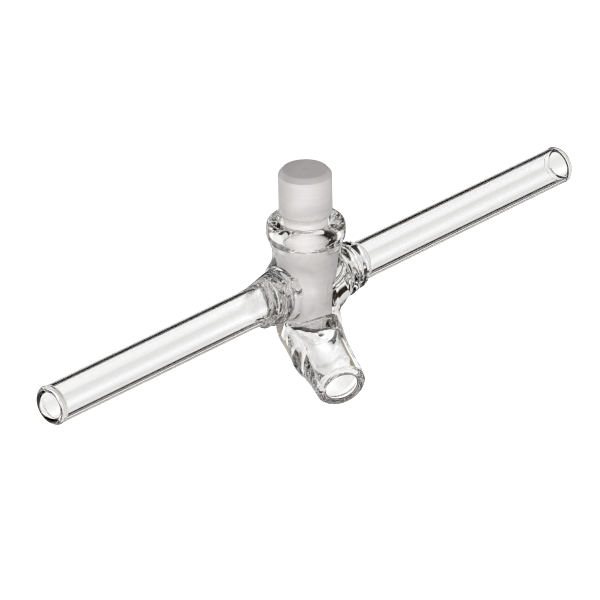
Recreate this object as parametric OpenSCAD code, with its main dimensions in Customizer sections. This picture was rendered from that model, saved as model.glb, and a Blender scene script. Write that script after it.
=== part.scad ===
// Three-way glass stopcock: a fused glass barrel with two side arms in line,
// a short lower port on an elbow, and a ground glass plug that turns in it.
// Millimetres. +Z is the plug's axis, pointing at its head, +X runs along the
// right arm, and the origin is on the plug's axis, midway between the heights
// of the two arms.

/* [Side arms] */
// Outside diameter of each side arm
arm_d = 10; // [8:0.5:12]
// Bore of each side arm
arm_bore = 8.2; // [5:0.1:8.6]
// Distance from the plug's axis to the end of the left arm
left_reach = 89.5; // [50:0.5:120]
// Distance from the plug's axis to the end of the right arm
right_reach = 96.5; // [50:0.5:120]
// How far each arm's axis is off the middle height, up on the left and down on the right
arm_offset = 0.75; // [0:0.05:0.9]
// Section radius of the fire-polished bead at each arm's mouth, which closes the bore in
rim_bead = 0.8; // [0.5:0.05:0.9]
// Reach of the flared weld along each arm, from the plug's axis
weld_reach = 20; // [18:0.5:24]
// Radius of the flared weld where it meets the barrel
weld_r = 8.2; // [7:0.1:8.25]

/* [Barrel] */
// Outside radius of the barrel at the height of the arms
barrel_r = 8.3; // [7.8:0.1:9.5]
// Outside radius of the collar round the mouth
collar_r = 10.05; // [9.6:0.05:11]
// Height of the barrel's mouth above the arms
mouth_z = 18.6; // [17.8:0.1:20]
// Top of the ground seat above the arms
seat_top = 12.3; // [10:0.1:13]
// Bottom of the ground seat below the arms
seat_bottom = 7.6; // [7:0.1:8]
// Radius of the passage through the barrel's wall to each arm
port_hole_r = 1.6; // [1:0.1:2]

/* [Plug] */
// Radius of the ground plug at the height of the arms
plug_r = 4.7; // [4.3:0.1:4.8]
// Growth of the plug's radius for each millimetre of height (a 1 in 10 taper on diameter)
taper = 0.05; // [0.04:0.005:0.06]
// Radial gap between plug and seat
seat_gap = 0.05; // [0.03:0.01:0.08]
// Radius of the plug's head
head_r = 6.75; // [6.2:0.05:7.5]
// Underside of the head above the arms
head_bottom = 20.7; // [20.2:0.1:22]
// Top of the head above the arms
head_top = 32.1; // [28:0.1:40]
// Radius of the passages in the plug
plug_hole_r = 1.5; // [1:0.1:1.8]

/* [Lower port] */
// Outside diameter of the lower port
port_d = 12.4; // [11.8:0.2:13]
// Bore of the lower port
port_bore = 9.8; // [8.8:0.1:10]
// Distance from the elbow's centre to the mouth of the lower port
port_reach = 25; // [21:0.5:35]
// How far the port dips below the level
port_dip = 19; // [12:1:30]
// How far the port swings from the front towards the left arm
port_swing = 25; // [0:1:35]
// Outside radius of the elbow's bulb
bulb_r = 8.2; // [7.8:0.1:8.6]
// Height of the elbow's centre below the arms
elbow_z = 10; // [9.5:0.1:12]

/* [Hidden] */
$fn = 96;

arm_r = arm_d / 2;
arm_br = arm_bore / 2;
port_r = port_d / 2;
port_br = port_bore / 2;
port_bead = 1;                       // section radius of the rim at the port's mouth
bulb_at = [-1, -2.1, -elbow_z - 1.8]; // the bulb's centre, a little below the elbow's
lobe_r = 7.25;                       // outside radius of the thick glass on the port's underside
roof_z = 1 - elbow_z;                // roof of the port's bore, under the seat
drop_r = 3;                          // radius of the hole in the seat's floor
heel_r = 8;                          // radius of the barrel's rounded foot
heel_z = -9.5;                       // height of the foot's centre
plug_bottom = -seat_bottom - 0.6;    // the plug's lower end, just above the seat's floor
neck_z = 18;                         // the ground cone ends just inside the mouth
// the weld's flare: share of the way out from the barrel, share of the extra radius
weld_curve = [[0, 1], [0.07, 0.8], [0.14, 0.64], [0.23, 0.53], [0.31, 0.46], [0.4, 0.405],
              [0.51, 0.36], [0.63, 0.33], [0.74, 0.29], [0.84, 0.22], [0.93, 0.1], [1, 0]];

// Radius of the plug's ground cone at height z
function plug_at(z) = plug_r + taper * z;
// Outside radius of the barrel at height z: the wall is even all the way down
function barrel_at(z) = barrel_r + taper * z;

// Turns +Z into the direction of the lower port
module along_port() {
    translate([0, 0, -elbow_z]) rotate([0, 0, -port_swing]) rotate([90 + port_dip, 0, 0]) children();
}

// Turns +Z into +X (side 1) or -X (side -1), at that arm's own height
module along_arm(side) {
    translate([0, 0, -side * arm_offset]) rotate([0, side * 90, 0]) children();
}

// A tube's solid outside, from 0 to len, whose rim is round with section radius bead
module polished_rod(r, bead, len) {
    rotate_extrude() union() {
        square([r, len - bead]);
        square([r - bead, len]);
        translate([r - bead, len - bead]) circle(r = bead, $fn = 48);
    }
}

// The bore of that tube: a true cylinder of radius br, closed in by the bead at the mouth
module polished_bore(r, bead, br, from, len) {
    rotate_extrude() difference() {
        union() {
            translate([0, from]) square([br, len - bead - from]);
            translate([0, len - bead - 0.01]) square([r - bead, bead + 1]);
        }
        translate([r - bead, len - bead]) circle(r = bead, $fn = 48);
    }
}

// The barrel's turned outside: even wall, then a thick rounded collar round its mouth
module barrel_shell() {
    rotate_extrude() polygon([[0, heel_z], [barrel_at(heel_z), heel_z],
        [barrel_at(9) - 0.1, 9], [barrel_at(10.3) - 0.1, 10.3], [barrel_at(12) + 0.26, 12],
        [barrel_at(13.7) + 0.8, 13.7], [collar_r - 0.03, mouth_z - 3.8], [collar_r, mouth_z - 2.3],
        [collar_r - 0.07, mouth_z - 1.6], [collar_r - 0.33, mouth_z - 1], [collar_r - 0.75, mouth_z - 0.55],
        [collar_r - 1.25, mouth_z - 0.25], [collar_r - 1.85, mouth_z - 0.06], [collar_r - 2.4, mouth_z],
        [0, mouth_z]]);
}

// One arm with its flared weld
module arm_solid(side, reach) {
    along_arm(side) {
        translate([0, 0, 5]) polished_rod(arm_r, rim_bead, reach - 5);
        // the glass gathered at the weld: a shoulder, then a slow flare to the barrel
        rotate_extrude() polygon(concat([[0, 5], [weld_r - 0.1, 5]],
            [for (p = weld_curve) [arm_r + (weld_r - arm_r) * p[1], 7 + (weld_reach - 7) * p[0]]],
            [[arm_r - 0.1, weld_reach + 0.15], [0, weld_reach + 0.15]]));
    }
}

// The way through one arm: bore, its rounded end at the barrel, and the hole to the seat
module arm_way(side, reach) {
    along_arm(side) {
        polished_bore(arm_r, rim_bead, arm_br, 13.3, reach);
        rotate_extrude() polygon([[0, 9.5], [port_hole_r + 0.02, 9.5], [arm_br * 0.56, 9.9],
                                  [arm_br * 0.74, 10.5], [arm_br * 0.87, 11.3], [arm_br * 0.95, 12.1],
                                  [arm_br, 13.4], [0, 13.4]]);
        translate([0, 0, 2]) cylinder(r = port_hole_r, h = 8, $fn = 48);
    }
}

// A point on the lower port's axis, t from the elbow's centre
function port_at(t) = [-sin(port_swing) * cos(port_dip) * t, -cos(port_swing) * cos(port_dip) * t,
                       -elbow_z - sin(port_dip) * t];

// A cone from point p (radius r1) to point q (radius r2)
module cone(p, q, r1, r2) {
    v = q - p;
    translate(p) rotate([0, acos(v[2] / norm(v)), atan2(v[1], v[0])]) cylinder(r1 = r1, r2 = r2, h = norm(v));
}

// The lower port's outside: the barrel's rounded foot, the bulb under it, and the
// tube, with the thick glass that runs down its underside
module port_solid() {
    lobe_at = port_at(11.5) + [-0.64, 0.59, -0.78];
    along_port() cylinder(r1 = port_r - 0.5, r2 = port_r - 0.02, h = port_reach - 3.55);
    along_port() translate([0, 0, port_reach - 3.6]) polished_rod(port_r, port_bead, 3.6);
    translate([0, 0, heel_z]) sphere(r = heel_r);
    translate(bulb_at) sphere(r = bulb_r);
    cone(bulb_at, lobe_at, bulb_r * 0.985, lobe_r * 0.99);
    translate(lobe_at) sphere(r = lobe_r);
    cone(lobe_at, port_at(port_reach - 3.6), lobe_r * 0.985, port_r - 0.25);
}

// The way down through the lower port: a straight bore that runs in under the seat, and
// the hole that drops into it from the seat's floor
module port_way() {
    intersection() {
        along_port() polished_bore(port_r, port_bead, port_br, -0.5, port_reach);
        translate([-30, -50, roof_z - 50]) cube([60, 70, 50]);
    }
    translate([0, 0, roof_z - 3]) cylinder(r = drop_r, h = 3.4 - roof_z - seat_bottom - 0.8);
}

// The seat that the plug turns in: a ground cone, and a wider clear mouth
module seat() {
    function seat_at(z) = plug_at(z) + seat_gap;
    rotate_extrude() polygon([[0, -seat_bottom - 0.9], [seat_at(-seat_bottom), -seat_bottom - 0.9],
        [seat_at(-seat_bottom), -seat_bottom], [seat_at(seat_top), seat_top],
        [seat_at(seat_top) + 0.08, seat_top + 0.3], [seat_at(seat_top) + 0.4, seat_top + 0.7],
        [seat_at(seat_top) + 0.61, seat_top + 1.2], [seat_at(seat_top) + 0.72, seat_top + 2.1],
        [seat_at(neck_z) + 0.55, mouth_z - 1.7], [seat_at(neck_z) + 0.66, mouth_z - 1],
        [seat_at(neck_z) + 0.96, mouth_z - 0.45], [seat_at(neck_z) + 1.63, mouth_z],
        [seat_at(neck_z) + 3.2, mouth_z + 0.6], [0, mouth_z + 0.6]]);
}

module barrel() {
    color([0.86, 0.88, 0.88, 0.45]) difference() {
        union() {
            barrel_shell();
            arm_solid(-1, left_reach);
            arm_solid(1, right_reach);
            port_solid();
        }
        seat();
        arm_way(-1, left_reach);
        arm_way(1, right_reach);
        port_way();
    }
}

// The plug: ground cone, rounded shoulder and plain round head
module plug_body() {
    rotate_extrude() union() {
        polygon([[0, plug_bottom], [plug_at(plug_bottom) - 0.4, plug_bottom],
                 [plug_at(plug_bottom + 0.4), plug_bottom + 0.4], [plug_at(neck_z), neck_z],
                 [plug_at(neck_z) + 0.05, 18.9], [plug_at(neck_z) + 0.45, 19.7],
                 [head_r, head_bottom], [head_r, head_top - 1.3], [head_r - 0.25, head_top - 0.75],
                 [head_r - 0.95, head_top - 0.08], [head_r - 1.15, head_top], [0, head_top]]);
    }
}

module plug() {
    color([0.84, 0.82, 0.81]) difference() {
        plug_body();
        // one hole from the right side to the middle, and one from the middle down to the port
        rotate([0, 90, 0]) cylinder(r = plug_hole_r, h = 12, $fn = 48);
        translate([0, 0, plug_bottom - 1]) cylinder(r = plug_hole_r + 0.01, h = -plug_bottom + 1, $fn = 48);
        sphere(r = plug_hole_r + 0.03, $fn = 48);
        // lathe centre in the top of the head
        translate([0, 0, head_top - 0.25]) cylinder(r1 = 0.35, r2 = 0.9, h = 0.6, $fn = 48);
    }
}

barrel();
plug();
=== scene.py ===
"""Looks of the glass stopcock: one blown and fused barrel, one ground plug.

Both pieces are meshed here from the same dimensions as the CAD model, in millimetres,
with the melted welds and fire-polished rims that the CAD model gives as plain cones.
"""

import math

import bpy
import numpy as np
from mathutils import Matrix, Vector


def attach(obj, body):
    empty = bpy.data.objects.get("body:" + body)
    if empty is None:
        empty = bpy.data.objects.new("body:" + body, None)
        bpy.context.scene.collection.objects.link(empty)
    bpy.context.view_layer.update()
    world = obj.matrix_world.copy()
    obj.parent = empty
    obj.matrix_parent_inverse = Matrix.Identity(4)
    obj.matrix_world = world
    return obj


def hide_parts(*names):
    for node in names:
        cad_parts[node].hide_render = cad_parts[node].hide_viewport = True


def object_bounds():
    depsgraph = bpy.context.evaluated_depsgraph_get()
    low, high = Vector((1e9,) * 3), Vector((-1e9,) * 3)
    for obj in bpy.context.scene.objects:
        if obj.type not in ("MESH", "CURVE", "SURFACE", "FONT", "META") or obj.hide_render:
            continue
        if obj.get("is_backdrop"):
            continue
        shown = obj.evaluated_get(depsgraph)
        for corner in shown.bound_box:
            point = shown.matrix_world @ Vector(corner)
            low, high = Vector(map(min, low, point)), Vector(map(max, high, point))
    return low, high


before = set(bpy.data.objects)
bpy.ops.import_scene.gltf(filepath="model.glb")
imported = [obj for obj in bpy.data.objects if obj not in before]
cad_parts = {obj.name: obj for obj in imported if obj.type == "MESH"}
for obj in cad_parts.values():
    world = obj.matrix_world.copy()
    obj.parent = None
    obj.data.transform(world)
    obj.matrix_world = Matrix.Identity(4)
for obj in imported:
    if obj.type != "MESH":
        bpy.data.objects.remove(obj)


def plain(v):
    """Nested vectors as plain lists of numbers."""
    try:
        return [plain(x) for x in v]
    except TypeError:
        return float(v) if isinstance(v, (int, float)) else v


cad_box = plain(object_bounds())

# ---------------------------------------------------------------- dimensions, mm
TAPER = 0.05
PLUG_R, SEAT_GAP, BARREL_R = 4.7, 0.05, 8.3
ARM_R, ARM_BORE, RIM = 5.0, 4.1, 0.8
ARM_OFF = 0.75
REACH = {-1: 89.5, 1: 96.5}
MOUTH_Z, COLLAR_R = 18.6, 10.05
SEAT_TOP, SEAT_BOTTOM = 12.3, -7.6
PORT_R, PORT_BORE, PORT_REACH = 6.2, 4.9, 25.0
ELBOW_Z = 10.0
SWING, DIP = math.radians(25), math.radians(19)
PORT_DIR = np.array(
    [-math.sin(SWING) * math.cos(DIP), -math.cos(SWING) * math.cos(DIP), -math.sin(DIP)]
)
ELBOW = np.array([0.0, 0.0, -ELBOW_Z])
BULB, BULB_R = np.array([-1.0, -2.1, -11.8]), 8.2
LOBE, LOBE_R = ELBOW + 11.5 * PORT_DIR + np.array([-0.64, 0.59, -0.78]), 7.25
HEEL_R, HEEL_Z = 8.0, -9.5
ROOF_Z = -9.0
HEAD_R, HEAD_BOTTOM, HEAD_TOP = 6.75, 20.7, 32.1
PLUG_BOTTOM, NECK_Z = -8.2, 18.0
HOLE_R = 1.5


# ---------------------------------------------------------------- distance fields
def smin(a, b, k):
    h = np.maximum(k - np.abs(a - b), 0.0) / k
    return np.minimum(a, b) - h * h * k * 0.25


def smax(a, b, k):
    return -smin(-a, -b, k)


def curve(points, n=400):
    """A smooth monotone line through (place, radius) points, and its slope."""
    x = np.array([p[0] for p in points], float)
    y = np.array([p[1] for p in points], float)
    h = np.diff(x)
    s = np.diff(y) / h
    m = np.zeros_like(x)
    m[0], m[-1] = s[0], s[-1]
    for i in range(1, len(x) - 1):
        if s[i - 1] * s[i] > 0:
            w1, w2 = 2 * h[i] + h[i - 1], h[i] + 2 * h[i - 1]
            m[i] = (w1 + w2) / (w1 / s[i - 1] + w2 / s[i])
    at = np.linspace(x[0], x[-1], n)
    k = np.clip(np.searchsorted(x, at, side="right") - 1, 0, len(x) - 2)
    t = (at - x[k]) / h[k]
    out = (
        (1 + 2 * t) * (1 - t) ** 2 * y[k]
        + t * (1 - t) ** 2 * h[k] * m[k]
        + t * t * (3 - 2 * t) * y[k + 1]
        + t * t * (t - 1) * h[k] * m[k + 1]
    )
    return at, out, np.gradient(out, at)


def turned(r, h, line):
    """Distance from a turned surface given as radius against height."""
    at, radius, slope = line
    big = np.interp(h, at, radius)
    return (r - big) / np.sqrt(1 + np.interp(h, at, slope) ** 2)


def slab(h, low, high):
    return np.maximum(low - h, h - high)


def torus(r, h, ring, at, section):
    return np.sqrt((r - ring) ** 2 + (h - at) ** 2) - section


def cone_between(x, y, z, p, q, r1, r2):
    """A round-ended cone from p to q."""
    d = q - p
    length = float(np.linalg.norm(d))
    d = d / length
    px, py, pz = x - p[0], y - p[1], z - p[2]
    t = px * d[0] + py * d[1] + pz * d[2]
    s = np.sqrt(np.maximum(px * px + py * py + pz * pz - t * t, 0.0))
    slope = (r1 - r2) / length
    u = np.clip(t + s * slope, 0.0, length)
    return (np.sqrt((t - u) ** 2 + s * s) - (r1 + (r2 - r1) * u / length)) * math.sqrt(
        1 / (1 + slope * slope)
    )


# the weld's outside: an even flare at the back, and in front a rolled shoulder with two
# deep grooves where the glass was folded in
LEAN = curve(
    [(0, 8.2), (6.6, 8.2), (7.5, 7.95), (8.3, 7.4), (9.0, 7.0), (10.0, 6.75), (11.1, 6.55),
     (12.5, 6.3), (14.0, 6.02), (15.5, 5.72), (17.0, 5.4), (18.5, 5.15), (20.0, 5.04),
     (22.0, ARM_R), (120, ARM_R)],
    2400,
)
FULL = curve(
    [(0, 8.2), (6.6, 8.2), (7.5, 7.95), (8.3, 7.5), (9.0, 7.25), (9.7, 7.1), (10.2, 6.9),
     (10.6, 6.35), (10.9, 6.1), (11.2, 6.35), (11.7, 6.72), (12.2, 6.85), (12.7, 6.6), (13.0, 6.45),
     (13.4, 6.6), (13.9, 6.55), (14.4, 6.2), (14.8, 5.85), (15.1, 5.7), (15.5, 5.95), (16.0, 6.2),
     (16.6, 6.2), (17.2, 5.9),
     (17.8, 5.4), (18.3, 5.1), (18.9, ARM_R), (120, ARM_R)],
    2400,
)
# the bore ends in a dome, pierced in the middle
FUNNEL = curve(
    [(0, 1.6), (9.5, 1.6), (9.7, 1.8), (10.0, 2.3), (10.4, 2.8), (10.9, 3.3), (11.4, 3.65),
     (12.0, 3.9), (12.7, 4.06), (13.5, ARM_BORE), (120, ARM_BORE)],
    2400,
)
BODY = curve(
    [(-30, BARREL_R - 30 * TAPER), (9.0, BARREL_R + 9.0 * TAPER - 0.1), (10.3, 8.72), (11.0, 8.84), (12.0, 9.16),
     (13.0, 9.52), (13.7, 9.8), (14.1, 9.93), (14.8, 10.02), (16.3, COLLAR_R), (17.0, 9.98), (17.6, 9.72),
     (18.05, 9.3), (18.35, 8.8), (18.55, 8.2), (18.66, 7.6), (18.9, 5.0)],
    3000,
)


def seat_at(z, more=0.0):
    return PLUG_R + SEAT_GAP + TAPER * z + more


SEAT = curve(
    [(-20, seat_at(-20)), (SEAT_TOP, seat_at(SEAT_TOP)), (12.6, seat_at(12.6, 0.06)), (13.0, seat_at(13.0, 0.36)),
     (13.5, seat_at(13.5, 0.55)), (14.4, seat_at(14.4, 0.62)), (16.9, seat_at(16.9, 0.6)),
     (17.6, seat_at(17.6, 0.68)), (18.15, seat_at(18.15, 0.95)), (18.6, seat_at(18.6, 1.6)),
     (19.2, seat_at(19.2, 3.2)), (22, seat_at(22, 9.0))],
    4000,
)


def outer(x, y, z):
    """The barrel's outside, without its rims."""
    rz = np.sqrt(x * x + y * y)
    body = smax(turned(rz, z, BODY), slab(z, HEEL_Z, MOUTH_Z), 0.4)
    foot = np.sqrt(rz * rz + (z - HEEL_Z) ** 2) - HEEL_R
    d = smin(body, foot, 0.6)
    # lower port: bulb and the long taper of its underside
    px, py, pz = x - ELBOW[0], y - ELBOW[1], z - ELBOW[2]
    t = px * PORT_DIR[0] + py * PORT_DIR[1] + pz * PORT_DIR[2]
    s = np.sqrt(np.maximum(px * px + py * py + pz * pz - t * t, 0.0))
    tube = smax(s - PORT_R, slab(t, 0.0, PORT_REACH - 1.0), 0.3)
    bulb = smin(
        cone_between(x, y, z, BULB, LOBE, BULB_R - 0.08, LOBE_R),
        cone_between(x, y, z, LOBE, ELBOW + 21.5 * PORT_DIR, LOBE_R, PORT_R - 0.1),
        0.3,
    )
    bulb = smax(bulb, t - (PORT_REACH - 1.3), 0.6)
    low = smin(tube, bulb, 1.6)
    d = smin(d, low, 1.8)
    for side in (-1, 1):
        a = side * x
        ra = np.sqrt(y * y + (z + side * ARM_OFF) ** 2)
        # shares of the direction from the arm's axis: to the front, and down
        zr = z + side * ARM_OFF
        fore = (-0.81 * y + 0.59 * zr) / np.maximum(ra, 1.0)
        down = (-0.59 * y - 0.81 * zr) / np.maximum(ra, 1.0)
        full = np.clip((fore + 0.55 * down + 0.4) / 0.8 if side < 0 else (fore + 0.75) / 0.65, 0, 1)
        full = full * full * (3 - 2 * full)
        out = np.clip((a - 9) / 8, 0, 1)
        shift = (1.3 if side < 0 else -0.5) * down * out * out * (3 - 2 * out)
        weld = turned(ra, a, LEAN) * (1 - full) + turned(ra, a - shift, FULL) * full
        arm = smax(weld, slab(a, 2.0, REACH[side] - RIM), 0.2)
        d = smin(d, arm, 1.7)
    return d


def inner(x, y, z):
    """The ways through the barrel."""
    rz = np.sqrt(x * x + y * y)
    seat = np.maximum(turned(rz, z, SEAT), slab(z, SEAT_BOTTOM - 0.9, MOUTH_Z + 2))
    px, py, pz = x - ELBOW[0], y - ELBOW[1], z - ELBOW[2]
    t = px * PORT_DIR[0] + py * PORT_DIR[1] + pz * PORT_DIR[2]
    s = np.sqrt(np.maximum(px * px + py * py + pz * pz - t * t, 0.0))
    # the port's bore runs straight in under the seat, and a rounded lip hangs over it
    port = smax(s - PORT_BORE, slab(t, -0.5, PORT_REACH + 3), 3.0)
    port = smax(port, z - ROOF_Z, 2.0)
    drop = np.maximum(rz - 3.0, slab(z, -13.0, SEAT_BOTTOM + 0.6))
    low = smin(port, drop, 2.5)
    d = smin(seat, low, 0.25)
    for side in (-1, 1):
        a = side * x
        ra = np.sqrt(y * y + (z + side * ARM_OFF) ** 2)
        way = np.maximum(turned(ra, a, FUNNEL), slab(a, 2.0, REACH[side] + 3))
        d = smin(d, way, 0.15)
    return d


def barrel_field(x, y, z):
    d = smax(outer(x, y, z), -inner(x, y, z), 0.06)
    for side in (-1, 1):
        a = side * x
        ra = np.sqrt(y * y + (z + side * ARM_OFF) ** 2)
        d = smin(d, torus(ra, a, ARM_R - RIM - 0.07, REACH[side] - RIM, RIM - 0.01), 0.35)
    px, py, pz = x - ELBOW[0], y - ELBOW[1], z - ELBOW[2]
    t = px * PORT_DIR[0] + py * PORT_DIR[1] + pz * PORT_DIR[2]
    s = np.sqrt(np.maximum(px * px + py * py + pz * pz - t * t, 0.0))
    return smin(d, torus(s, t, PORT_R - 1.06, PORT_REACH - 1.0, 1.0), 0.35)


HEAD = curve(
    [(-12, PLUG_R - 12 * TAPER), (17.6, PLUG_R + 17.6 * TAPER), (18.9, 5.66), (19.4, 5.85),
     (19.9, 6.22), (20.2, 6.44), (20.4, 6.26), (20.6, 6.54), (20.85, 6.68), (21.2, HEAD_R), (30.6, HEAD_R),
     (30.85, 6.69), (31.1, 6.52), (31.8, 5.94), (32.0, 5.77), (32.25, 5.56), (32.5, 5.35)],
    2400,
)


def plug_field(x, y, z):
    rz = np.sqrt(x * x + y * y)
    d = smax(turned(rz, z, HEAD), slab(z, PLUG_BOTTOM, HEAD_TOP), 0.1)
    side = np.maximum(np.sqrt(y * y + z * z) - HOLE_R, -x)
    down = np.maximum(rz - HOLE_R, z)
    way = smin(side, down, 0.3)
    centre = rz * 0.486 + (HEAD_TOP - z) * 0.874 - 0.437
    return smax(smax(d, -way, 0.12), -centre, 0.1)


# ---------------------------------------------------------------- surface nets
def surface(field, xs, ys, zs, relax=2):
    """A closed quad mesh of field = 0 on an uneven grid, its points moved onto the surface."""
    xs, ys, zs = (np.asarray(a, np.float32) for a in (xs, ys, zs))
    value = np.empty((len(xs), len(ys), len(zs)), np.float32)
    for i in range(0, len(xs), 16):
        gx, gy, gz = np.meshgrid(xs[i : i + 16], ys, zs, indexing="ij")
        value[i : i + 16] = field(gx, gy, gz)
    inside = value < 0
    count = sum(
        inside[i : i - 1 or None, j : j - 1 or None, k : k - 1 or None].astype(np.int8)
        for i in (0, 1) for j in (0, 1) for k in (0, 1)
    )
    mixed = (count > 0) & (count < 8)
    number = np.full(mixed.shape, -1, np.int64)
    ci, cj, ck = np.nonzero(mixed)
    number[ci, cj, ck] = np.arange(len(ci))
    corner = {
        (i, j, k): value[ci + i, cj + j, ck + k] for i in (0, 1) for j in (0, 1) for k in (0, 1)
    }
    total = np.zeros((len(ci), 3))
    hits = np.zeros(len(ci))
    grid = (xs.astype(float), ys.astype(float), zs.astype(float))
    base = (ci, cj, ck)
    for axis in range(3):
        for u in (0, 1):
            for v in (0, 1):
                a, b = [u, v], [u, v]
                a.insert(axis, 0)
                b.insert(axis, 1)
                fa, fb = corner[tuple(a)], corner[tuple(b)]
                cross = (fa < 0) != (fb < 0)
                t = np.where(cross, fa / np.where(cross, fa - fb, 1), 0)
                for m in range(3):
                    low = grid[m][base[m] + a[m]]
                    high = grid[m][base[m] + b[m]]
                    total[:, m] += np.where(cross, low + t * (high - low), 0)
                hits += cross
    points = total / hits[:, None]
    faces = []
    for axis in range(3):
        a = [slice(None)] * 3
        b = [slice(None)] * 3
        a[axis], b[axis] = slice(0, -1), slice(1, None)
        sa, sb = inside[tuple(a)], inside[tuple(b)]
        i, j, k = np.nonzero(sa != sb)
        grows = sa[i, j, k]
        spot = [i, j, k]
        o1, o2 = [m for m in range(3) if m != axis]
        ring = []
        for du, dv in ((-1, -1), (0, -1), (0, 0), (-1, 0)):
            at = [spot[0].copy(), spot[1].copy(), spot[2].copy()]
            at[o1] = at[o1] + du
            at[o2] = at[o2] + dv
            ring.append(number[tuple(at)])
        ring = np.stack(ring, 1)
        flip = grows if axis != 1 else ~grows
        ring[~flip] = ring[~flip][:, ::-1]
        faces.append(ring)
    faces = np.concatenate(faces)
    assert (faces >= 0).all()

    def slope(p, e=0.004):
        g = np.empty_like(p)
        for m in range(3):
            q, r = p.copy(), p.copy()
            q[:, m] += e
            r[:, m] -= e
            g[:, m] = (field(*q.T) - field(*r.T)) / (2 * e)
        return g

    def settle(p, times):
        for _ in range(times):
            g = slope(p)
            f = field(*p.T)
            step = f[:, None] * g / np.maximum((g * g).sum(1), 0.05)[:, None]
            long = np.linalg.norm(step, axis=1, keepdims=True)
            p = p - step * np.minimum(1, 0.4 / np.maximum(long, 1e-9))
        return p

    points = settle(points, 3)
    pairs = np.concatenate([faces[:, [0, 1]], faces[:, [1, 2]], faces[:, [2, 3]], faces[:, [3, 0]]])
    for _ in range(relax):
        mean = np.zeros_like(points)
        n = np.zeros(len(points))
        for a, b in ((0, 1), (1, 0)):
            np.add.at(mean, pairs[:, a], points[pairs[:, b]])
            np.add.at(n, pairs[:, a], 1)
        points = settle(points + 0.5 * (mean / n[:, None] - points), 2)
    normals = slope(points)
    normals /= np.linalg.norm(normals, axis=1, keepdims=True)
    return points, faces, normals


def spaced(*parts):
    """Grid planes from (start, end, step) runs laid end to end."""
    out = []
    for a, b, step in parts:
        n = max(int(round((b - a) / step)), 1)
        out.extend(np.linspace(a, b, n + 1)[:-1])
    out.append(parts[-1][1])
    return np.array(out)


def make(name, points, faces, normals):
    mesh = bpy.data.meshes.new(name)
    mesh.vertices.add(len(points))
    mesh.vertices.foreach_set("co", (points / 1000).astype(np.float32).ravel())
    mesh.loops.add(faces.size)
    mesh.loops.foreach_set("vertex_index", faces.ravel().astype(np.int32))
    mesh.polygons.add(len(faces))
    mesh.polygons.foreach_set("loop_start", np.arange(0, faces.size, 4, dtype=np.int32))
    mesh.update(calc_edges=True)
    mesh.validate()
    mesh.polygons.foreach_set("use_smooth", np.ones(len(mesh.polygons), bool))
    mesh.normals_split_custom_set_from_vertices(normals.astype(np.float32))
    ob = bpy.data.objects.new(name, mesh)
    bpy.context.scene.collection.objects.link(ob)
    return ob


STEP = 0.36
LONG = 3.0
barrel_mesh = surface(
    barrel_field,
    spaced(
        (-90.2, -87.2, 0.16), (-87.2, -84, 0.8), (-84, -24, LONG), (-24, -21, 0.75), (-21, 21, STEP),
        (21, 24, 0.75), (24, 91, LONG), (91, 94.2, 0.8), (94.2, 97.2, 0.16),
    ),
    spaced((-26.5, 11, STEP)),
    spaced((-26, 19.4, STEP)),
)
plug_mesh = surface(
    plug_field, spaced((-7.2, 7.2, 0.26)), spaced((-7.2, 7.2, 0.26)),
    spaced((-9, 19.6, 0.33), (19.6, 21.4, 0.12), (21.4, 30.3, 0.33), (30.3, 32.4, 0.14), (32.4, 32.8, 0.2)), 2
)


# ---------------------------------------------------------------- materials
def nodes_of(name):
    m = bpy.data.materials.new(name)
    m.use_nodes = True
    nt = m.node_tree
    nt.nodes.clear()
    out = nt.nodes.new("ShaderNodeOutputMaterial")
    p = nt.nodes.new("ShaderNodeBsdfPrincipled")
    nt.links.new(p.outputs[0], out.inputs["Surface"])
    return m, nt, p, out


def put(node, **values):
    for key, value in values.items():
        node.inputs[key.replace("_", " ")].default_value = value


def add(nt, kind, **settings):
    n = nt.nodes.new(kind)
    for key, value in settings.items():
        setattr(n, key, value)
    return n


def link(nt, a, b):
    nt.links.new(a, b)


def position(nt, scale=(1, 1, 1), place=(0, 0, 0)):
    """Object coordinates in millimetres, stretched."""
    tc = add(nt, "ShaderNodeTexCoord")
    m = add(nt, "ShaderNodeMapping")
    m.inputs["Scale"].default_value = [1000 * v for v in scale]
    m.inputs["Location"].default_value = place
    link(nt, tc.outputs["Object"], m.inputs["Vector"])
    return m.outputs["Vector"]


def remap(nt, source, a, b, c, d, smooth=False):
    n = add(nt, "ShaderNodeMapRange")
    if smooth:
        n.interpolation_type = "SMOOTHSTEP"
    for key, value in zip(("From Min", "From Max", "To Min", "To Max"), (a, b, c, d)):
        n.inputs[key].default_value = value
    link(nt, source, n.inputs["Value"])
    return n.outputs["Result"]


def maths(nt, kind, a, b=None):
    n = add(nt, "ShaderNodeMath", operation=kind)
    for i, v in enumerate((a, b)):
        if v is None:
            continue
        if isinstance(v, (int, float)):
            n.inputs[i].default_value = v
        else:
            link(nt, v, n.inputs[i])
    return n.outputs[0]


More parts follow.
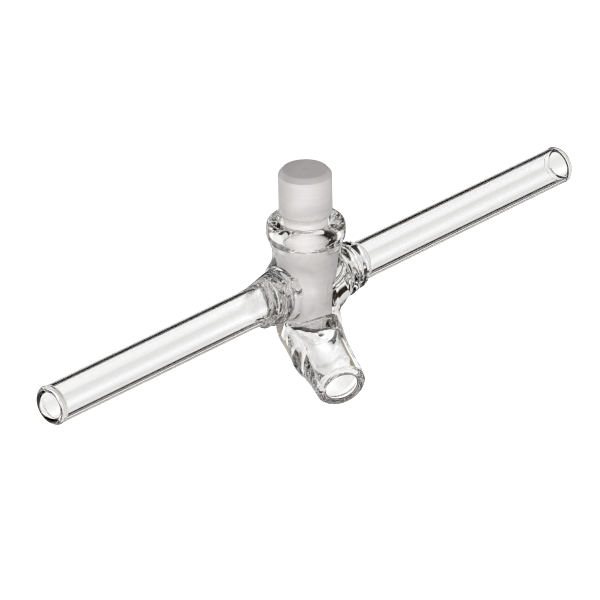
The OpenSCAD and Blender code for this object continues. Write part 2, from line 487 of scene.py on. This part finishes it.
def clear_glass():
    m, nt, p, out = nodes_of("clear_glass")
    put(p, Base_Color=(1, 1, 1, 1), Roughness=0.0, IOR=1.474, Transmission_Weight=1.0)
    # slow waves where the glass was worked in the flame: strong at the welds and the collar, faint along the arms
    # and at the rims
    at = position(nt)
    xyz = add(nt, "ShaderNodeSeparateXYZ")
    link(nt, at, xyz.inputs[0])
    far = maths(nt, "ABSOLUTE", xyz.outputs["X"])
    worked = remap(nt, far, 14, 24, 1.0, 0.12, True)
    slow = add(nt, "ShaderNodeTexNoise")
    put(slow, Scale=0.16, Detail=1.5, Roughness=0.45)
    link(nt, position(nt, (1, 1, 1)), slow.inputs["Vector"])
    drawn = add(nt, "ShaderNodeTexNoise")
    put(drawn, Scale=0.5, Detail=1.0, Roughness=0.4)
    link(nt, position(nt, (0.04, 1, 1)), drawn.inputs["Vector"])
    height = maths(nt, "ADD", maths(nt, "MULTIPLY", slow.outputs["Fac"], worked),
                   maths(nt, "MULTIPLY", drawn.outputs["Fac"], 0.1))
    bump = add(nt, "ShaderNodeBump")
    put(bump, Strength=0.22, Distance=0.00045)
    link(nt, height, bump.inputs["Height"])
    link(nt, bump.outputs["Normal"], p.inputs["Normal"])
    return m


def ground_glass(name, colour, rough, marks, depth, clear_share):
    """Frosted by grinding on a lathe: even grit, faint rings from turning, a few rubbed patches."""
    m, nt, p, out = nodes_of(name)
    put(p, IOR=1.474, Transmission_Weight=clear_share)
    at = position(nt)
    xyz = add(nt, "ShaderNodeSeparateXYZ")
    link(nt, at, xyz.inputs[0])
    # rings: noise that hardly changes around the axis
    rings = add(nt, "ShaderNodeTexNoise")
    put(rings, Scale=marks, Detail=3.0, Roughness=0.6)
    flat = add(nt, "ShaderNodeVectorMath", operation="MULTIPLY")
    flat.inputs[1].default_value = (1, 1, 0)
    link(nt, at, flat.inputs[0])
    reach = add(nt, "ShaderNodeVectorMath", operation="LENGTH")
    link(nt, flat.outputs[0], reach.inputs[0])
    spun = add(nt, "ShaderNodeCombineXYZ")
    link(nt, maths(nt, "ADD", reach.outputs["Value"], maths(nt, "MULTIPLY", xyz.outputs["X"], 0.05)), spun.inputs[0])
    link(nt, maths(nt, "MULTIPLY", xyz.outputs["Y"], 0.05), spun.inputs[1])
    link(nt, xyz.outputs["Z"], spun.inputs[2])
    link(nt, spun.outputs[0], rings.inputs["Vector"])
    grit = add(nt, "ShaderNodeTexNoise")
    put(grit, Scale=3.2, Detail=2.0, Roughness=0.7)
    link(nt, at, grit.inputs["Vector"])
    patch = add(nt, "ShaderNodeTexNoise")
    put(patch, Scale=0.22, Detail=2.0)
    link(nt, at, patch.inputs["Vector"])
    link(nt, remap(nt, patch.outputs["Fac"], 0.35, 0.65, rough - 0.05, rough + 0.05), p.inputs["Roughness"])
    mix = add(nt, "ShaderNodeMix", data_type="RGBA")
    mix.inputs["A"].default_value = (*[c * 0.9 for c in colour], 1)
    mix.inputs["B"].default_value = (*colour, 1)
    link(nt, remap(nt, rings.outputs["Fac"], 0.3, 0.7, 0, 1), mix.inputs["Factor"])
    link(nt, mix.outputs["Result"], p.inputs["Base Color"])
    height = maths(nt, "ADD", maths(nt, "MULTIPLY", rings.outputs["Fac"], 1.0),
                   maths(nt, "MULTIPLY", grit.outputs["Fac"], 0.35))
    bump = add(nt, "ShaderNodeBump")
    put(bump, Strength=0.5, Distance=depth / 1000)
    link(nt, height, bump.inputs["Height"])
    link(nt, bump.outputs["Normal"], p.inputs["Normal"])
    return m


clear = clear_glass()
seat_mat = ground_glass("ground_seat", (0.93, 0.925, 0.92), 0.4, 1.6, 0.05, 0.85)
plug_mat = ground_glass("ground_plug", (0.955, 0.94, 0.935), 0.5, 2.6, 0.12, 0.62)

barrel = make("barrel_glass", *barrel_mesh)
plug = make("plug_ground", *plug_mesh)
barrel.data.materials.append(clear)
barrel.data.materials.append(seat_mat)
plug.data.materials.append(plug_mat)

# the ground seat is the cone inside the barrel
centres = np.zeros(len(barrel.data.polygons) * 3, np.float32)
barrel.data.polygons.foreach_get("center", centres)
cx, cy, cz = (centres.reshape(-1, 3) * 1000).T
rz = np.sqrt(cx * cx + cy * cy)
on_seat = (np.abs(rz - (PLUG_R + SEAT_GAP + TAPER * cz)) < 0.1) & (cz > SEAT_BOTTOM - 0.4) & (cz < SEAT_TOP + 0.1)
barrel.data.polygons.foreach_set("material_index", on_seat.astype(np.int32))

for ob, node, body, mat_slot in (
    (barrel, "barrel", "barrel", "clear_glass"),
    (plug, "plug", "plug", "ground_glass"),
):
    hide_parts(node)
    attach(ob, body)

# ---------------------------------------------------------------- camera
SCALE, LENS_PX = 3.975, 4900.0
elev, azim, roll = math.radians(27), math.radians(-45.8), math.radians(1)
right = Vector((math.cos(azim), math.sin(azim), 0))
back = Vector((math.sin(azim) * math.cos(elev), -math.cos(azim) * math.cos(elev), math.sin(elev)))
up = back.cross(right)
right2 = right * math.cos(roll) - up * math.sin(roll)
up2 = up * math.cos(roll) + right * math.sin(roll)
target = (right2 * (-6.9 / SCALE) + up2 * (-16 / SCALE)) / 1000
place = target + back * (LENS_PX / SCALE / 1000)
cam = bpy.data.cameras.new("camera")
cam.sensor_width = 36
cam.lens = LENS_PX * 36 / 600
cam.clip_start, cam.clip_end = 0.05, 50
camera = bpy.data.objects.new("camera", cam)
m = Matrix((right2, up2, back)).transposed().to_4x4()
m.translation = place
camera.matrix_world = m
bpy.context.scene.collection.objects.link(camera)
bpy.context.scene.camera = camera

# ---------------------------------------------------------------- floor
mesh = bpy.data.meshes.new("floor")
half = 8.0
mesh.from_pydata([(-half, -half, -0.28), (half, -half, -0.28), (half, half, -0.28), (-half, half, -0.28)],
                 [], [(0, 1, 2, 3)])
floor = bpy.data.objects.new("floor", mesh)
bpy.context.scene.collection.objects.link(floor)
m, nt, p, out = nodes_of("floor")
put(p, Base_Color=(0.9, 0.9, 0.9, 1), Roughness=0.9, Emission_Color=(1, 1, 1, 1), Emission_Strength=0.9)
mesh.materials.append(m)
floor.visible_transmission = False
floor.visible_glossy = False
floor.visible_diffuse = False
floor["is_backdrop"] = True

# ---------------------------------------------------------------- studio
world = bpy.data.worlds.new("studio")
bpy.context.scene.world = world
world.use_nodes = True
nt = world.node_tree
nt.nodes.clear()
tc = add(nt, "ShaderNodeTexCoord")
xyz = add(nt, "ShaderNodeSeparateXYZ")
link(nt, tc.outputs["Generated"], xyz.inputs[0])
rad = math.radians
height = maths(nt, "ARCSINE", xyz.outputs["Z"])
# look-azimuth: 0 along +Y, growing towards -X
turn = maths(nt, "ARCTAN2", maths(nt, "MULTIPLY", xyz.outputs["X"], -1.0), xyz.outputs["Y"])


def off_from(azimuth):
    """How far the direction's azimuth is from this one, 0 to pi."""
    d = maths(nt, "SUBTRACT", turn, rad(azimuth))
    d = maths(nt, "WRAP", d, math.pi)
    d.node.inputs[2].default_value = -math.pi
    return maths(nt, "ABSOLUTE", d)


def panel(azimuth, half, bottom, top, soft=(4, 4, 3), level=1.0):
    """A lit rectangle in look-azimuth and height, with soft edges: sides, bottom, top."""
    side = remap(nt, off_from(azimuth), rad(half), rad(half + soft[0]), 1, 0, True)
    under = remap(nt, height, rad(bottom - soft[1]), rad(bottom), 0, 1, True)
    upper = remap(nt, height, rad(top), rad(top + soft[2]), 1, 0, True)
    return maths(nt, "MULTIPLY", maths(nt, "MULTIPLY", side, under), maths(nt, "MULTIPLY", upper, level))


def times(a, b):
    return maths(nt, "MULTIPLY", a, b)


# the sheet behind the part hangs parallel to its arms: folds and the gap to the table run along them
lean = maths(nt, "ARCTAN2", xyz.outputs["Z"], maths(nt, "ABSOLUTE", xyz.outputs["Y"]))
folds = add(nt, "ShaderNodeValToRGB")
link(nt, remap(nt, lean, rad(-90), rad(0), 0.0, 1.0), folds.inputs["Fac"])
FOLDS = (
    (-88, 0.15), (-85, 0.5), (-81, 1.0), (-76, 1.35), (-73, 1.2), (-71, 0.68), (-69, 0.12),
    (-67, 0.0), (-57, 0.0), (-55, 0.2), (-53, 0.6), (-51, 1.02), (-49, 1.06), (-46.5, 0.97),
    (-44, 0.87), (-41.5, 0.94), (-38.6, 1.1), (-36, 0.9), (-34.4, 0.86), (-32, 0.98), (-29, 1.14),
    (-24, 1.16), (-20, 1.2), (-14, 1.2), (-11.5, 0.85), (-9, 0.3), (-7, 0.03), (-4, 0.0),
)
e = folds.color_ramp.elements
while len(e) < len(FOLDS):
    e.new(0.5)
for one, (angle, value) in zip(e, FOLDS):
    one.position = (angle + 90) / 90
for one, (angle, value) in zip(e, FOLDS):
    one.color = (value / 2, value / 2, value / 2, 1)
folds_level = maths(nt, "MULTIPLY", folds.outputs["Color"], 2.0)
# steeper than the gap only the table shows, and only from low down
table = remap(nt, lean, rad(-66), rad(-62), 0.0, 1.0)
low = remap(nt, height, rad(-44), rad(-40), 1.0, 0.0, True)
sheet = times(folds_level, maths(nt, "MAXIMUM", table, low))
sheet = times(sheet, remap(nt, xyz.outputs["X"], 0.52, 0.6, 0.72, 1.0, True))
total = None
for one in (
    times(panel(-46, 31, -90, 20, (6, 1, 3)), times(sheet, table)),
    times(panel(-78, 15, -90, 20, (8, 1, 3)), times(sheet, remap(nt, lean, rad(-66), rad(-62), 1.0, 0.0))),
    times(panel(45, 29, -90, 20, (6, 1, 3)), times(sheet, table)),
    times(panel(78, 15, -90, 20, (8, 1, 3)), times(sheet, remap(nt, lean, rad(-66), rad(-62), 1.0, 0.0))),
    panel(-135, 16, -18, 2, (5, 4, 4), 0.87),
    panel(-80, 24, -20, 30, (5, 5, 6), 0.5),
    panel(-10, 22, 4, 30, (6, 4, 6), 0.78),
    # the pale table in front of the part, and beyond it on the right
    panel(140, 45, -60, -34, (10, 4, 4), 1.0),
    panel(0, 22, -34, -12, (6, 4, 4), 0.9),
    # the same table on the sides away from the camera
    times(panel(-150, 42, -68, -46, (10, 4, 4), 0.8), remap(nt, xyz.outputs["X"], 0.5, 0.55, 1.0, 0.0, True)),
    panel(78, 24, -60, -16, (6, 4, 5), 0.8),
    # and straight under the part
    remap(nt, height, rad(-76), rad(-66), 0.95, 0.0, True),
    panel(0, 13, -12, 14, (4, 3, 4), 0.87),
    panel(90, 13, -12, 14, (4, 3, 4), 0.87),
    # the table's glow from right under the part
    panel(-95, 38, -80, -62, (8, 4, 3), 0.25),
    panel(85, 38, -80, -62, (8, 4, 3), 0.6),
    # wide soft lights over the part, on both sides
    panel(-108, 38, 4, 58, (22, 12, 10), 0.04),
    panel(100, 34, 12, 58, (18, 12, 10), 0.04),
):
    total = one if total is None else maths(nt, "MAXIMUM", total, one)
tone = add(nt, "ShaderNodeValToRGB")
ramp = tone.color_ramp
ramp.elements[0].position, ramp.elements[0].color = 0.0, (0.012, 0.009, 0.007, 1)
ramp.elements[1].position, ramp.elements[1].color = 1.0, (1, 1, 1, 1)
for at, colour in ((0.3, (0.06, 0.038, 0.022, 1)), (0.5, (0.3, 0.26, 0.2, 1)), (0.6, (0.62, 0.6, 0.57, 1)), (0.74, (0.78, 0.77, 0.76, 1))):
    e = ramp.elements.new(at)
    e.color = colour
link(nt, total, tone.inputs["Fac"])
bright = maths(nt, "MAXIMUM", total, 1.0)
seen = add(nt, "ShaderNodeBackground")
link(nt, tone.outputs["Color"], seen.inputs["Color"])
link(nt, bright, seen.inputs["Strength"])
plain_bg = add(nt, "ShaderNodeBackground")
plain_bg.inputs["Color"].default_value = (1, 1, 1, 1)
path = add(nt, "ShaderNodeLightPath")
# what the ground, powdery surfaces gather: soft light from the front, and less of it from behind
soft_bg = add(nt, "ShaderNodeBackground")
front = maths(nt, "MAXIMUM", remap(nt, off_from(125), rad(6), rad(104), 1.0, 0.16, True),
              remap(nt, off_from(-62), rad(12), rad(64), 0.7, 0.0, True))
level = remap(nt, height, rad(5), rad(50), 1.0, 0.12, True)
soft_bg.inputs["Color"].default_value = (1, 0.985, 0.98, 1)
# and a little more of it where it has been led in through the clear glass
through = remap(nt, path.outputs["Transmission Depth"], 1, 2, 1.0, 1.5)
link(nt, times(times(times(front, level), 1.68), through), soft_bg.inputs["Strength"])
lit = add(nt, "ShaderNodeMixShader")
link(nt, path.outputs["Diffuse Depth"], lit.inputs[0])
link(nt, seen.outputs[0], lit.inputs[1])
link(nt, soft_bg.outputs[0], lit.inputs[2])
mixed = add(nt, "ShaderNodeMixShader")
link(nt, path.outputs["Is Camera Ray"], mixed.inputs[0])
link(nt, lit.outputs[0], mixed.inputs[1])
link(nt, plain_bg.outputs[0], mixed.inputs[2])
wout = add(nt, "ShaderNodeOutputWorld")
link(nt, mixed.outputs[0], wout.inputs[0])

world.cycles.sampling_method = "NONE"

scene = bpy.context.scene
scene.view_settings.view_transform = "Standard"
scene.view_settings.look = "None"
scene.cycles.max_bounces = 24
scene.cycles.transmission_bounces = 24
scene.cycles.glossy_bounces = 12
scene.cycles.diffuse_bounces = 2
scene.cycles.transparent_max_bounces = 8
scene.cycles.caustics_reflective = True
scene.cycles.caustics_refractive = True
scene.cycles.blur_glossy = 0.0
scene.cycles.filter_width = 1.0

{"cad": cad_box, "visual": plain(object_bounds())}
